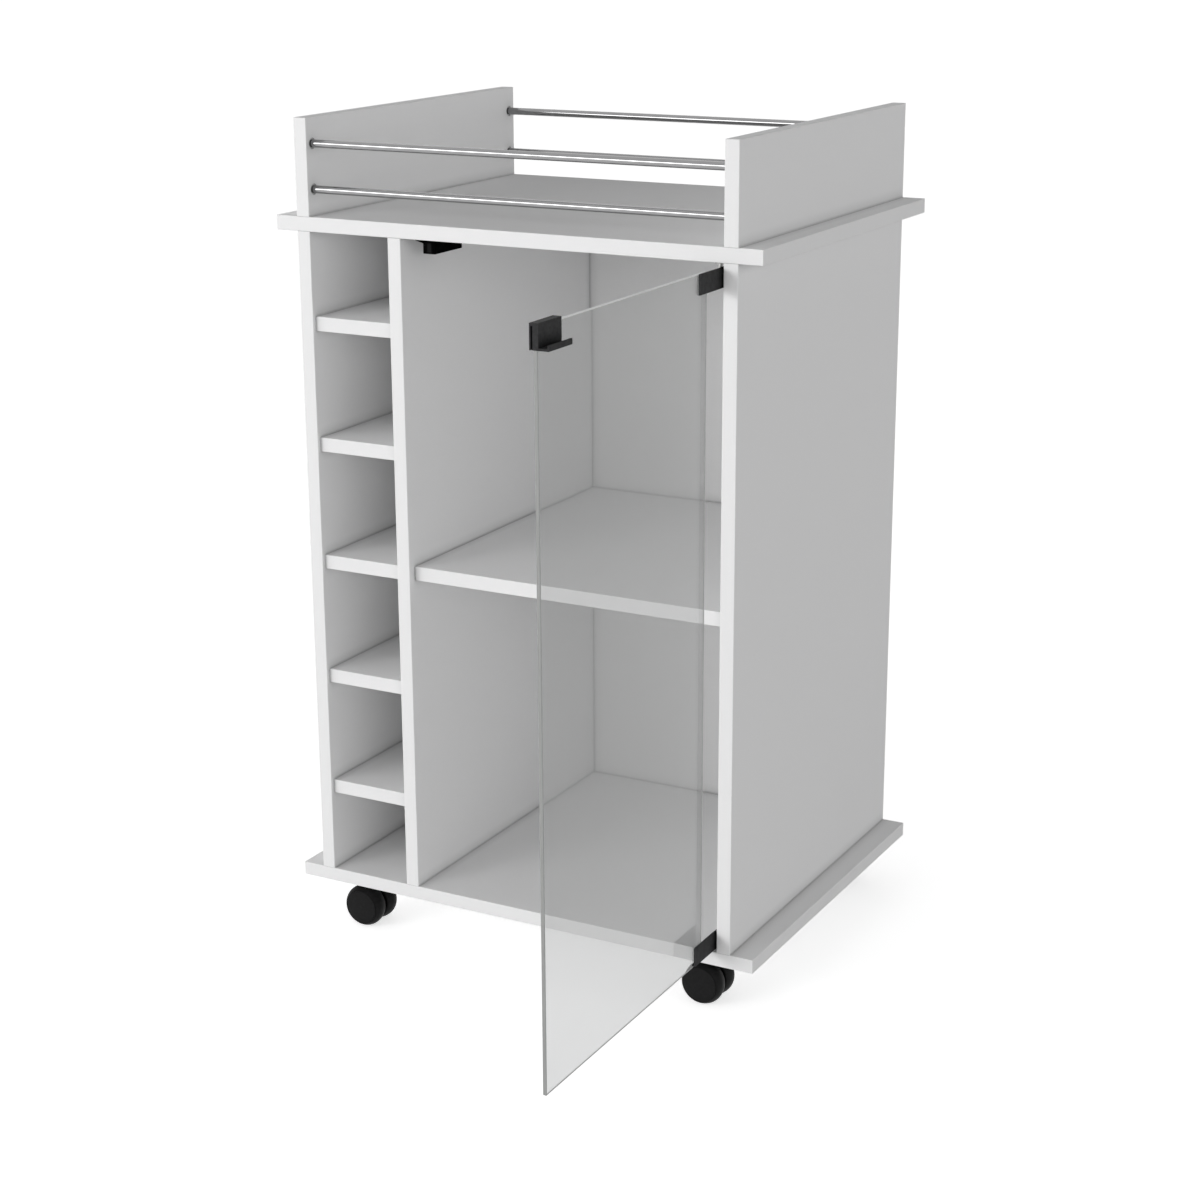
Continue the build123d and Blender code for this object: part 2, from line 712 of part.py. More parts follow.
# Magnet between two pole plates that reach the closed handle
with BuildPart() as catch_magnet:
    with Locations((catch_x, catch_front, pole_z)):
        Box(magnet_width, magnet_length, magnet_height, align=FROM_FRONT)
save(catch_magnet, "catch_magnet")
with BuildPart() as catch_pole_plates:
    pole_offset = (magnet_width + pole_thickness) / 2
    with Locations(*[(catch_x + sign * pole_offset, pole_front, pole_z) for sign in sides.values()]):
        Box(pole_thickness, magnet_length + catch_pole_proud, magnet_height, align=FROM_FRONT)
save(catch_pole_plates, "catch_pole_plates")

# Small wood screws for the catch and for the caster plates, heads down
for name, points, seat, grip in (
    ("catch_screws", catch_screw_points, top_bottom - ear_tip, ear_tip),
    ("caster_screws", caster_screw_points, caster_height - plate_thickness, plate_thickness),
):
    with BuildPart() as wood_screw:
        with BuildSketch(Plane.XZ):
            with BuildLine():
                Polyline(*wood_screw_profile(grip), close=True)
            make_face()
        revolve(axis=Axis.Z)
        with BuildSketch(Plane.XY.offset(-wood_screw_head_height)):
            Rectangle(wood_screw_slot_length, wood_screw_slot_width)
            Rectangle(wood_screw_slot_width, wood_screw_slot_length)
        extrude(amount=wood_screw_slot_depth, mode=Mode.SUBTRACT)
    with BuildPart() as wood_screws:
        with Locations(*[(x, y, seat) for x, y in points]):
            add(wood_screw.part)
    save(wood_screws, name)

# Caster mounting plates
for corner, (x, y) in caster_points.items():
    with BuildPart() as caster_plate:
        with BuildSketch(Plane.XY.offset(caster_height)):
            with Locations((x, y)):
                RectangleRounded(plate_size, plate_size, plate_corner)
                Circle(king_pin_radius, mode=Mode.SUBTRACT)
                with GridLocations(plate_hole_spacing, plate_hole_spacing, 2, 2):
                    Circle(wood_screw_radius + screw_clearance, mode=Mode.SUBTRACT)
        extrude(amount=-plate_thickness)
    save(caster_plate, f"{corner}_caster_plate")

# King pins, riveted into the plates, with a head that carries the yoke
with BuildPart() as king_pins:
    for x, y in caster_points.values():
        with Locations((x, y, caster_height - king_pin_length)):
            Cylinder(king_pin_radius, king_pin_length, align=STANDING)
            Cylinder(king_pin_head_radius, king_pin_head_height, align=STANDING)
save(king_pins, "caster_king_pins")

# Yoke: a swivel boss, a web between the wheels and a hood over them.
# Drawn about the swivel axis, with the axle towards -X.
axle_plane = upright(-caster_trail, 0, wheel_radius)
king_pin_seat = caster_height - king_pin_length + king_pin_head_height + swivel_gap
boss_bottom = yoke_top - yoke_boss_height
with BuildPart() as yoke:
    with BuildSketch(axle_plane) as hood:
        with BuildLine():
            outer_arc = CenterArc((0, 0), hood_outer_radius, hood_start, hood_sweep)
            inner_arc = CenterArc((0, 0), hood_inner_radius, hood_start, hood_sweep)
            Line(outer_arc @ 0, inner_arc @ 0)
            Line(outer_arc @ 1, inner_arc @ 1)
        make_face()
    extrude(amount=hood_width / 2, both=True)
    with BuildSketch(axle_plane):
        add(hood.sketch_local)
        Circle(yoke_hub_radius)
        with Locations((caster_trail - yoke_boss_radius, boss_bottom - wheel_radius)):
            Rectangle(yoke_web_on_boss, yoke_boss_height, align=(Align.MIN, Align.MIN))
        make_hull()
    extrude(amount=yoke_web / 2, both=True)
    with BuildSketch(Plane.XY.offset(boss_bottom)):
        Circle(yoke_boss_radius)
    extrude(amount=yoke_boss_height)
    for sign in sides.values():
        with BuildSketch(axle_plane.offset(sign * yoke_web / 2)):
            Circle(wheel_radius + wheel_clearance)
        extrude(amount=sign * hood_width, mode=Mode.SUBTRACT)
    with BuildSketch(Plane.XY.offset(king_pin_seat)):
        Circle(king_pin_head_radius + king_pin_head_gap)
    extrude(amount=-king_pin_seat, mode=Mode.SUBTRACT)
    with Locations((0, 0, yoke_top)):
        Hole(king_pin_radius + swivel_running_gap)
    with Locations(axle_plane):
        Hole(axle_radius)

# Wheel, turned about Y: crowned tread, domed cap in a ring groove, hollow inner side and a blind bore
bore_radius = axle_radius + axle_running_gap
bore_end = axle_length / 2 + axle_end_gap
crown = (wheel_crown, wheel_radius)
cap_edge = (wheel_outer - cap_dome, cap_radius)
with BuildPart() as wheel:
    with BuildSketch(Plane.YZ):
        with BuildLine():
            outer_tread = JernArc(crown, (1, 0), outer_tread_radius, -outer_tread_turn)
            inner_tread = JernArc(crown, (-1, 0), inner_tread_radius, inner_tread_turn)
            inner_shoulder = JernArc(
                inner_tread @ 1, inner_tread % 1, inner_shoulder_radius, 90 - inner_tread_turn
            )
            tread_edge = outer_tread @ 1
            Polyline(
                inner_shoulder @ 1,
                (wheel_inner, wheel_recess_outer),
                (wheel_inner + wheel_recess_depth, wheel_recess_outer),
                (wheel_inner + wheel_recess_depth, wheel_recess_inner),
                (wheel_inner, wheel_recess_inner),
                (wheel_inner, bore_radius),
                (bore_end, bore_radius),
                (bore_end, 0),
                (wheel_outer, 0),
            )
            TangentArc((wheel_outer, 0), cap_edge, tangent=(0, 1))
            Polyline(
                cap_edge,
                (tread_edge.X - cap_ring_depth, cap_radius),
                (tread_edge.X - cap_ring_depth, tread_edge.Y),
                tread_edge,
            )
        make_face()
    revolve(axis=Axis.Y)

# The four casters, rolling wheels towards the middle of the cart
for corner, (x, y) in caster_points.items():
    turn = 0 if x > 0 else 180
    with BuildPart() as caster_yoke:
        with Locations(Location((x, y, 0), (0, 0, turn))):
            add(yoke.part)
    save(caster_yoke, f"{corner}_yoke")
    axle_x = x - caster_trail if x > 0 else x + caster_trail
    with BuildPart() as caster_axle:
        with Locations(upright(axle_x, y, wheel_radius)):
            Cylinder(axle_radius, axle_length)
    save(caster_axle, f"{corner}_axle")
    for place, half_turn in (("fore", 180), ("aft", 0)):
        with BuildPart() as caster_wheel:
            with Locations(Location((axle_x, y, wheel_radius), (0, 0, half_turn))):
                add(wheel.part)
        save(caster_wheel, f"{corner}_{place}_wheel")
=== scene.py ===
"""Looks of the bar cart: finishes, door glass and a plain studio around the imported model."""

import math

import bpy
import numpy as np
from mathutils import Matrix, Vector


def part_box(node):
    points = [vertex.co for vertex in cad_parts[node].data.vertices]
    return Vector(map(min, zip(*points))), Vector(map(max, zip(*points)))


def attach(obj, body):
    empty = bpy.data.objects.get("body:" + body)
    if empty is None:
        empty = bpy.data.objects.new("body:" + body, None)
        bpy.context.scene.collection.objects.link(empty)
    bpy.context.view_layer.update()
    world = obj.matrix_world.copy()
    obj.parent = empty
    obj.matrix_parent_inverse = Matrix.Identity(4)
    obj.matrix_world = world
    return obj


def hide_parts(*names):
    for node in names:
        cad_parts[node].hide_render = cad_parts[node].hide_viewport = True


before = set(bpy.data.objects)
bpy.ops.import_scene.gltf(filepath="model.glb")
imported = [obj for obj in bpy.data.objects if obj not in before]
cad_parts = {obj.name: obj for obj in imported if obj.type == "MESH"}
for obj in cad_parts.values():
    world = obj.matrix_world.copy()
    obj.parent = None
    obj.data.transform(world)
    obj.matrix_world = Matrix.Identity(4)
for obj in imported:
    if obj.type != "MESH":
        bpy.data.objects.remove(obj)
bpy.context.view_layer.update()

bl_info = {
    "name": "Bar cart looks",
    "version": (1, 0, 0),
    "blender": (4, 5, 0),
    "location": "3D View > Sidebar > Bar cart",
    "description": "Finishes, door glass and a plain studio for the bar cart",
    "category": "Object",
}

CORNERS = ("front_left", "front_right", "rear_left", "rear_right")
RAILS = ("front_upper_rail", "front_lower_rail", "rear_upper_rail", "rear_lower_rail")
BOARDS = (
    "base_panel",
    "top_panel",
    "left_side_panel",
    "right_side_panel",
    "divider_panel",
    "middle_shelf",
    *(f"bottle_shelf_{number}" for number in range(1, 6)),
    "left_guard",
    "right_guard",
)
DOWELS = ("guard_dowels", "panel_dowels", "shelf_dowels")

# Values between which most of a noise texture lies
NOISE_LOW = 0.3
NOISE_HIGH = 0.7

# Material slots of the glass pane
PANE_FACE = 0
GREY_EDGE = 1
# Slot of the top edge: the same ground glass as the grey edges, painted lighter as a highlight
PAINTED_HIGHLIGHT_EDGE = 2

# Where the band of light ends and the ceiling starts, as the sine of the height above the horizon
BAND_TOP = 0.3
CEILING_START = 0.4

# Grid of the floor sheet
FLOOR_RINGS = 15
FLOOR_SIDES = 64

# Width and focal length in pixels of the photograph
PICTURE_WIDTH = 1200.0
FOCAL_LENGTH = 2383.4


class CartFinishes(bpy.types.PropertyGroup):
    """Colours of the cart's finishes, and the arris of its glass."""

    board_white: bpy.props.FloatVectorProperty(
        name="Board white",
        description="Melamine faces and edge bands of the boards",
        subtype="COLOR",
        size=3,
        min=0.0,
        max=1.0,
        default=(0.89, 0.89, 0.892),
    )
    back_white: bpy.props.FloatVectorProperty(
        name="Back white",
        description="Lacquered hardboard of the back panel",
        subtype="COLOR",
        size=3,
        min=0.0,
        max=1.0,
        default=(0.87, 0.87, 0.87),
    )
    fitting_black: bpy.props.FloatVectorProperty(
        name="Fitting black",
        description="Satin coat of the hinge clips and the handle, and the handle's grub screws",
        subtype="COLOR",
        size=3,
        min=0.0,
        max=1.0,
        default=(0.045, 0.045, 0.046),
    )
    moulded_black: bpy.props.FloatVectorProperty(
        name="Moulded black",
        description="Plastic of the wheels and the yokes, rubber of the pads, and the catch's magnet",
        subtype="COLOR",
        size=3,
        min=0.0,
        max=1.0,
        default=(0.011, 0.011, 0.0113),
    )
    # Black plastic and steel of the catch, with painted shade: darker than the other blacks for its place in
    # the shade under the top panel
    catch_black_and_shade: bpy.props.FloatVectorProperty(
        name="Catch black",
        description="Matt plastic and steel of the magnetic catch",
        subtype="COLOR",
        size=3,
        min=0.0,
        max=1.0,
        default=(0.0015, 0.0015, 0.0016),
    )
    rail_grey: bpy.props.FloatVectorProperty(
        name="Rail grey",
        description="Dark chrome of the rails",
        subtype="COLOR",
        size=3,
        min=0.0,
        max=1.0,
        default=(0.3, 0.3, 0.303),
    )
    glass_tint: bpy.props.FloatVectorProperty(
        name="Glass tint",
        description="Colour that the door glass lets through",
        subtype="COLOR",
        size=3,
        min=0.0,
        max=1.0,
        default=(0.6, 0.604, 0.604),
    )
    edge_grey: bpy.props.FloatVectorProperty(
        name="Edge grey",
        description="Free, hinge and bottom edges of the door glass",
        subtype="COLOR",
        size=3,
        min=0.0,
        max=1.0,
        default=(0.36, 0.365, 0.36),
    )
    # Painted highlight: the top edge is coloured lighter than the other edges of the same ground glass
    edge_painted_highlight: bpy.props.FloatVectorProperty(
        name="Painted edge highlight",
        description="Top edge of the door glass, which catches the light",
        subtype="COLOR",
        size=3,
        min=0.0,
        max=1.0,
        default=(0.85, 0.855, 0.85),
    )
    bush_grey: bpy.props.FloatVectorProperty(
        name="Bush grey",
        description="Nylon of the hinge bushes",
        subtype="COLOR",
        size=3,
        min=0.0,
        max=1.0,
        default=(0.42, 0.42, 0.415),
    )
    zinc_grey: bpy.props.FloatVectorProperty(
        name="Zinc grey",
        description="Plated screws, pins, axles and caster plates",
        subtype="COLOR",
        size=3,
        min=0.0,
        max=1.0,
        default=(0.52, 0.52, 0.51),
    )
    beech: bpy.props.FloatVectorProperty(
        name="Beech",
        description="Bare wood of the dowels",
        subtype="COLOR",
        size=3,
        min=0.0,
        max=1.0,
        default=(0.55, 0.38, 0.23),
    )
    glass_arris: bpy.props.FloatProperty(
        name="Glass arris",
        description="How far the edges of the door glass are ground off, across and inwards",
        subtype="DISTANCE",
        unit="LENGTH",
        precision=5,
        default=0.0005,
        min=0.0,
    )


class CartStudio(bpy.types.PropertyGroup):
    """Camera, floor and light of the plain studio."""

    camera_place: bpy.props.FloatVectorProperty(
        name="Camera place",
        description="Where the camera stands",
        subtype="TRANSLATION",
        unit="LENGTH",
        size=3,
        default=(1.1678, -2.1836, 1.0986),
    )
    camera_yaw: bpy.props.FloatProperty(
        name="Camera yaw",
        description="Turn of the view from straight at the front, towards the right side",
        subtype="ANGLE",
        default=math.radians(28.358),
    )
    camera_pitch: bpy.props.FloatProperty(
        name="Camera pitch",
        description="Tilt of the view below the horizon",
        subtype="ANGLE",
        default=math.radians(16.779),
    )
    camera_roll: bpy.props.FloatProperty(
        name="Camera roll",
        description="Turn of the picture about the line of sight",
        subtype="ANGLE",
        default=math.radians(-0.268),
    )
    focal_share: bpy.props.FloatProperty(
        name="Focal share",
        description="Focal length as a share of the picture's width",
        default=FOCAL_LENGTH / PICTURE_WIDTH,
        min=0.1,
    )
    softbox_place: bpy.props.FloatVectorProperty(
        name="Softbox place",
        description="Where the wide soft lamp stands, at the front left",
        subtype="TRANSLATION",
        unit="LENGTH",
        size=3,
        default=(-2.2, -3.9, 1.7),
    )
    softbox_target: bpy.props.FloatVectorProperty(
        name="Softbox target",
        description="Point of the cart that the soft lamp faces",
        subtype="TRANSLATION",
        unit="LENGTH",
        size=3,
        default=(0.0, 0.0, 0.85),
    )
    softbox_width: bpy.props.FloatProperty(
        name="Softbox width",
        description="Width of the soft lamp",
        subtype="DISTANCE",
        unit="LENGTH",
        default=2.0,
        min=0.0,
    )
    softbox_height: bpy.props.FloatProperty(
        name="Softbox height",
        description="Height of the soft lamp",
        subtype="DISTANCE",
        unit="LENGTH",
        default=1.05,
        min=0.0,
    )
    softbox_power: bpy.props.FloatProperty(
        name="Softbox power",
        description="Power of the soft lamp",
        subtype="POWER",
        unit="POWER",
        default=47.6,
        min=0.0,
    )
    sky_front: bpy.props.FloatProperty(
        name="Front light",
        description="Brightness of the surround in front, near the horizon",
        default=1.65,
        min=0.0,
    )
    sky_back: bpy.props.FloatProperty(
        name="Back light",
        description="Brightness of the surround behind, near the horizon",
        default=0.5,
        min=0.0,
    )
    sky_right: bpy.props.FloatProperty(
        name="Right light",
        description="Brightness of the surround at the right, near the horizon",
        default=0.98,
        min=0.0,
    )
    sky_left: bpy.props.FloatProperty(
        name="Left light",
        description="Brightness of the surround at the left, near the horizon",
        default=2.26,
        min=0.0,
    )
    ceiling: bpy.props.FloatProperty(
        name="Ceiling light",
        description="Brightness of the surround overhead",
        default=0.28,
        min=0.0,
    )
    floor_radius: bpy.props.FloatProperty(
        name="Floor radius",
        description="Radius of the round floor",
        subtype="DISTANCE",
        unit="LENGTH",
        default=30.0,
        min=0.0,
    )
    floor_glow: bpy.props.FloatProperty(
        name="Floor glow",
        description="White that the floor adds to what the camera, metal and glass see of it",
        default=0.66,
        min=0.0,
    )


def new_material(name):
    """A material with a Principled shader, as (material, node tree, shader)."""
    material = bpy.data.materials.new(name)
    material.use_nodes = True
    tree = material.node_tree
    return material, tree, tree.nodes["Principled BSDF"]


def noise(tree, scale, detail=3.0, stretch=None):
    """Noise read at Object coordinates, with features of about 1 / scale metres.
    A stretch under 1 draws them out along that axis."""
    place = tree.nodes.new("ShaderNodeTexCoord")
    texture = tree.nodes.new("ShaderNodeTexNoise")
    texture.inputs["Scale"].default_value = scale
    texture.inputs["Detail"].default_value = detail
    if stretch is None:
        tree.links.new(place.outputs["Object"], texture.inputs["Vector"])
    else:
        mapping = tree.nodes.new("ShaderNodeMapping")
        mapping.inputs["Scale"].default_value = stretch
        tree.links.new(place.outputs["Object"], mapping.inputs["Vector"])
        tree.links.new(mapping.outputs["Vector"], texture.inputs["Vector"])
    return texture.outputs["Fac"]


def vary_colour(tree, shader, factor, colour, spread):
    """Base colour that runs from a little darker to a little lighter than the given one with the factor."""
    ramp = tree.nodes.new("ShaderNodeValToRGB")
    dark, light = ramp.color_ramp.elements
    dark.position = NOISE_LOW
    light.position = NOISE_HIGH
    dark.color = (*[c * (1 - spread) for c in colour], 1)
    light.color = (*[min(1, c * (1 + spread)) for c in colour], 1)
    tree.links.new(factor, ramp.inputs["Fac"])
    tree.links.new(ramp.outputs["Color"], shader.inputs["Base Color"])


def vary_gloss(tree, shader, factor, roughness):
    """Roughness that runs between the two given values with the factor."""
    spread = tree.nodes.new("ShaderNodeMapRange")
    spread.inputs["From Min"].default_value = NOISE_LOW
    spread.inputs["From Max"].default_value = NOISE_HIGH
    low, high = roughness
    spread.inputs["To Min"].default_value = low
    spread.inputs["To Max"].default_value = high
    tree.links.new(factor, spread.inputs["Value"])
    tree.links.new(spread.outputs["Result"], shader.inputs["Roughness"])


def relief(tree, shader, factor, depth, strength):
    """Bump of the given depth in metres from the factor."""
    bump = tree.nodes.new("ShaderNodeBump")
    bump.inputs["Strength"].default_value = strength
    bump.inputs["Distance"].default_value = depth
    tree.links.new(factor, bump.inputs["Height"])
    tree.links.new(bump.outputs["Normal"], shader.inputs["Normal"])


def paint_corner_shade(tree, shader, reach, share=1.0):
    """Paints shade into the base colour towards inner corners, within the reach in metres, by a share of full
    shade.
    """
    socket = shader.inputs["Base Color"]
    plain = socket.links[0].from_socket
    corners = tree.nodes.new("ShaderNodeAmbientOcclusion")
    corners.samples = 8
    corners.inputs["Distance"].default_value = reach
    tree.links.new(plain, corners.inputs["Color"])
    blend = tree.nodes.new("ShaderNodeMixRGB")
    blend.inputs["Fac"].default_value = share
    tree.links.new(plain, blend.inputs["Color1"])
    tree.links.new(corners.outputs["Color"], blend.inputs["Color2"])
    tree.links.new(blend.outputs["Color"], socket)


def melamine(name, colour, pebble):
    """White board face: matt, with a fine pressed pebble, and a narrow and a wide soft shade painted into its
    colour along joints.
    """
    material, tree, shader = new_material(name)
    vary_colour(tree, shader, noise(tree, scale=600.0), colour, spread=0.006)
    # Painted shade along joints: a narrow dark core and a wide faint skirt
    paint_corner_shade(tree, shader, reach=0.003, share=0.5)
    paint_corner_shade(tree, shader, reach=0.012, share=0.3)
    vary_gloss(tree, shader, noise(tree, scale=60.0), roughness=(0.8, 0.95))
    relief(tree, shader, noise(tree, scale=pebble, detail=2.0), depth=0.00003, strength=0.3)
    shader.inputs["Specular IOR Level"].default_value = 0.02
    return material


def moulded_nylon(colour):
    """Nylon of the hinge bushes: a soft gloss and a fine grain."""
    material, tree, shader = new_material("grey_nylon")
    grain = noise(tree, scale=1500.0)
    vary_colour(tree, shader, grain, colour, spread=0.03)
    vary_gloss(tree, shader, grain, roughness=(0.4, 0.5))
    return material


def coated_black(name, colour, specular, roughness, grain):
    """Black coat, moulding or steel: a fine grain, small changes of gloss and colour, and shade painted into
    its colour in corners.
    """
    material, tree, shader = new_material(name)
    shader.inputs["Specular IOR Level"].default_value = specular
    vary_colour(tree, shader, noise(tree, scale=300.0), colour, spread=0.18)
    # Painted shade in corners and recesses
    paint_corner_shade(tree, shader, reach=0.012)
    vary_gloss(tree, shader, noise(tree, scale=150.0), roughness)
    relief(tree, shader, noise(tree, scale=grain, detail=2.0), depth=0.00004, strength=0.4)
    return material


def brushed_metal(name, colour, roughness, stretch):
    """Metal with fine drawing marks along the axis that the stretch draws out."""
    material, tree, shader = new_material(name)
    shader.inputs["Metallic"].default_value = 1.0
    marks = noise(tree, scale=900.0, detail=2.0, stretch=stretch)
    vary_colour(tree, shader, noise(tree, scale=40.0), colour, spread=0.05)
    vary_gloss(tree, shader, marks, roughness)
    relief(tree, shader, marks, depth=0.000004, strength=0.3)
    return material


def clear_pane(tint):
    """Face of the float glass: smooth and slightly grey, with the faintest change of tint."""
    material, tree, shader = new_material("clear_pane")
    shader.inputs["Transmission Weight"].default_value = 1.0
    shader.inputs["IOR"].default_value = 1.55
    shader.inputs["Roughness"].default_value = 0.0
    vary_colour(tree, shader, noise(tree, scale=4.0), tint, spread=0.004)
    return material


def ground_edge(name, colour):
    """Edge of the float glass: fine grinding marks along it, under a half gloss."""
    material, tree, shader = new_material(name)
    marks = noise(tree, scale=700.0, detail=2.0, stretch=(1.0, 0.05, 0.05))
    vary_colour(tree, shader, marks, colour, spread=0.06)
    vary_gloss(tree, shader, marks, roughness=(0.3, 0.45))
    shader.inputs["Specular IOR Level"].default_value = 0.2
    return material


def bare_wood(colour):
    """Beech of the dowels: pores drawn out along the upright grain."""
    material, tree, shader = new_material("bare_beech")
    pores = noise(tree, scale=400.0, detail=4.0, stretch=(1.0, 1.0, 0.08))
    vary_colour(tree, shader, pores, colour, spread=0.12)
    vary_gloss(tree, shader, pores, roughness=(0.55, 0.75))
    relief(tree, shader, pores, depth=0.00005, strength=0.4)
    return material


def dress(material, *nodes):
    """Gives CAD nodes their material."""
    for node in nodes:
        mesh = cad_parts[node].data
        mesh.materials.clear()
        mesh.materials.append(material)


class CART_OT_boards(bpy.types.Operator):
    """Finish the boards, the back panel and the dowels"""

    bl_idname = "cart.boards"
    bl_label = "Boards"

    def execute(self, context):
        finishes = context.scene.cart_finishes
        dress(melamine("white_melamine", finishes.board_white, pebble=1400.0), *BOARDS)
        dress(melamine("back_lacquer", finishes.back_white, pebble=700.0), "back_panel")
        dress(bare_wood(finishes.beech), *DOWELS)
        return {"FINISHED"}


class CART_OT_rails(bpy.types.Operator):
    """Finish the rails over the tray"""

    bl_idname = "cart.rails"
    bl_label = "Rails"

    def execute(self, context):
        grey = context.scene.cart_finishes.rail_grey
        chrome = brushed_metal("dark_chrome", grey, roughness=(0.03, 0.06), stretch=(0.02, 1.0, 1.0))
        dress(chrome, *RAILS)
        return {"FINISHED"}


def glass_pane(arris):
    """Pane of the door: the profile of its edge (arris, edge, arris) carried round the rectangle of the
    CAD glass, and closed by the two faces. A corner of the rectangle moves in by the inset of the
    profile's point. Faces 0 to 3 of each profile step lie along the bottom, the hinge side, the top and
    the free side."""
    low, high = np.array(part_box("door_glass"))
    middle, half = (low + high) / 2, (high - low) / 2
    inset = np.array([arris, 0.0, 0.0, arris])
    across = np.array([-half[0], -half[0] + arris, half[0] - arris, half[0]])
    turn_y, turn_z = np.array([-1, 1, 1, -1]), np.array([-1, -1, 1, 1])
    corners, steps = len(turn_y), len(inset) - 1
    points = np.empty((steps + 1, corners, 3))
    points[..., 0] = middle[0] + across[:, None]
    points[..., 1] = middle[1] + turn_y * (half[1] - inset[:, None])
    points[..., 2] = middle[2] + turn_z * (half[2] - inset[:, None])
    corner = np.arange(corners)
    following = (corner + 1) % corners
    near = np.arange(steps)[:, None] * corners
    far = near + corners
    rim = np.stack([near + corner, near + following, far + following, far + corner], axis=-1)
    faces = np.concatenate([rim.reshape(-1, 4), [corner[::-1]], [steps * corners + corner]])
    mesh = bpy.data.meshes.new("glass_pane")
    mesh.from_pydata(points.reshape(-1, 3).tolist(), [], faces.tolist())
    # The top edge gets the painted highlight, the other edges the plain grey
    edges = np.tile([GREY_EDGE, GREY_EDGE, PAINTED_HIGHLIGHT_EDGE, GREY_EDGE], steps)
    mesh.polygons.foreach_set("material_index", np.concatenate([edges, [PANE_FACE, PANE_FACE]]))
    pane = bpy.data.objects.new("glass_pane", mesh)
    # Clear glass hardly dims the light on the boards, so the pane leaves that light alone
    pane.visible_shadow = False
    pane.visible_diffuse = False
    bpy.context.scene.collection.objects.link(pane)
    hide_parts("door_glass")
    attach(pane, "door")
    return mesh


class CART_OT_door(bpy.types.Operator):
    """Make the glass pane and finish the door's clips, handle, pads, screws, pins and bushes"""

    bl_idname = "cart.door"
    bl_label = "Door"

    def execute(self, context):
        finishes = context.scene.cart_finishes
        pane = glass_pane(finishes.glass_arris)
        pane.materials.append(clear_pane(finishes.glass_tint))
        pane.materials.append(ground_edge("grey_glass_edges", finishes.edge_grey))
        # Top edge: the same ground glass as the grey edges, painted lighter as a highlight
        pane.materials.append(ground_edge("glass_edge_painted_highlight", finishes.edge_painted_highlight))
        black = finishes.fitting_black
        coat = coated_black("satin_black_coat", black, specular=0.02, roughness=(0.42, 0.52), grain=3000.0)
        dress(coat, "upper_hinge_clip", "lower_hinge_clip", "door_handle")
        dress(moulded_nylon(finishes.bush_grey), "upper_hinge_bush", "lower_hinge_bush")
        dark = finishes.moulded_black
        rubber = coated_black("pad_rubber", dark, specular=0.1, roughness=(0.6, 0.75), grain=2200.0)
        dress(rubber, "clamp_pads")
        grey = finishes.zinc_grey
        zinc = brushed_metal("zinc_plate", grey, roughness=(0.25, 0.4), stretch=(1.0, 1.0, 0.1))
        dress(zinc, "upper_hinge_pin", "lower_hinge_pin")
        steel = coated_black("black_steel", black, specular=0.2, roughness=(0.3, 0.42), grain=4000.0)
        dress(steel, "clamp_screws")
        return {"FINISHED"}


class CART_OT_catch(bpy.types.Operator):
    """Finish the magnetic catch"""

    bl_idname = "cart.catch"
    bl_label = "Catch"

    def execute(self, context):
        finishes = context.scene.cart_finishes
        # The catch's black carries painted shade for its place under the top panel, on the housing, pole
        # plates and screws
        black = finishes.catch_black_and_shade
        plastic = coated_black("catch_plastic", black, specular=0.01, roughness=(0.6, 0.75), grain=2600.0)
        dress(plastic, "catch_housing")
        dark = finishes.moulded_black
        ferrite = coated_black("ferrite", dark, specular=0.05, roughness=(0.6, 0.7), grain=1500.0)
        dress(ferrite, "catch_magnet")
        steel = coated_black("catch_steel", black, specular=0.02, roughness=(0.35, 0.5), grain=3000.0)
        dress(steel, "catch_pole_plates", "catch_screws")
        return {"FINISHED"}


class CART_OT_casters(bpy.types.Operator):
    """Finish the casters: plates, their screws, king pins, yokes, axles and wheels"""

    bl_idname = "cart.casters"
    bl_label = "Casters"

    def execute(self, context):
        finishes = context.scene.cart_finishes
        black = finishes.moulded_black
        plastic = coated_black("wheel_plastic", black, specular=0.08, roughness=(0.4, 0.5), grain=1800.0)
        grey = finishes.zinc_grey
        zinc = brushed_metal("caster_zinc", grey, roughness=(0.3, 0.42), stretch=(0.1, 1.0, 1.0))
        for corner in CORNERS:
            dress(plastic, f"{corner}_fore_wheel", f"{corner}_aft_wheel", f"{corner}_yoke")
            dress(zinc, f"{corner}_axle", f"{corner}_caster_plate")
        dress(zinc, "caster_king_pins", "caster_screws")
        return {"FINISHED"}


class CART_OT_fasteners(bpy.types.Operator):
    """Finish the long screws under the base and the shelf pins"""

    bl_idname = "cart.fasteners"
    bl_label = "Fasteners"

    def execute(self, context):
        grey = context.scene.cart_finishes.zinc_grey
        zinc = brushed_metal("screw_zinc", grey, roughness=(0.28, 0.4), stretch=(1.0, 1.0, 0.1))
        dress(zinc, "base_screws", "shelf_pins")
        return {"FINISHED"}


def calculate(tree, operation, first, second):
    """Result of a Math node whose two values are numbers or sockets."""
    node = tree.nodes.new("ShaderNodeMath")
    node.operation = operation
    for socket, value in zip(node.inputs, (first, second)):
        if isinstance(value, (int, float)):
            socket.default_value = value
        else:
            tree.links.new(value, socket)
    return node.outputs["Value"]


def blend_to(tree, factor, start, end):
    """Result of a Mix node that goes from the start socket to the end number with the factor."""
    node = tree.nodes.new("ShaderNodeMix")
    tree.links.new(factor, node.inputs["Factor"])
    tree.links.new(start, node.inputs["A"])
    node.inputs["B"].default_value = end
    return node.outputs["Result"]


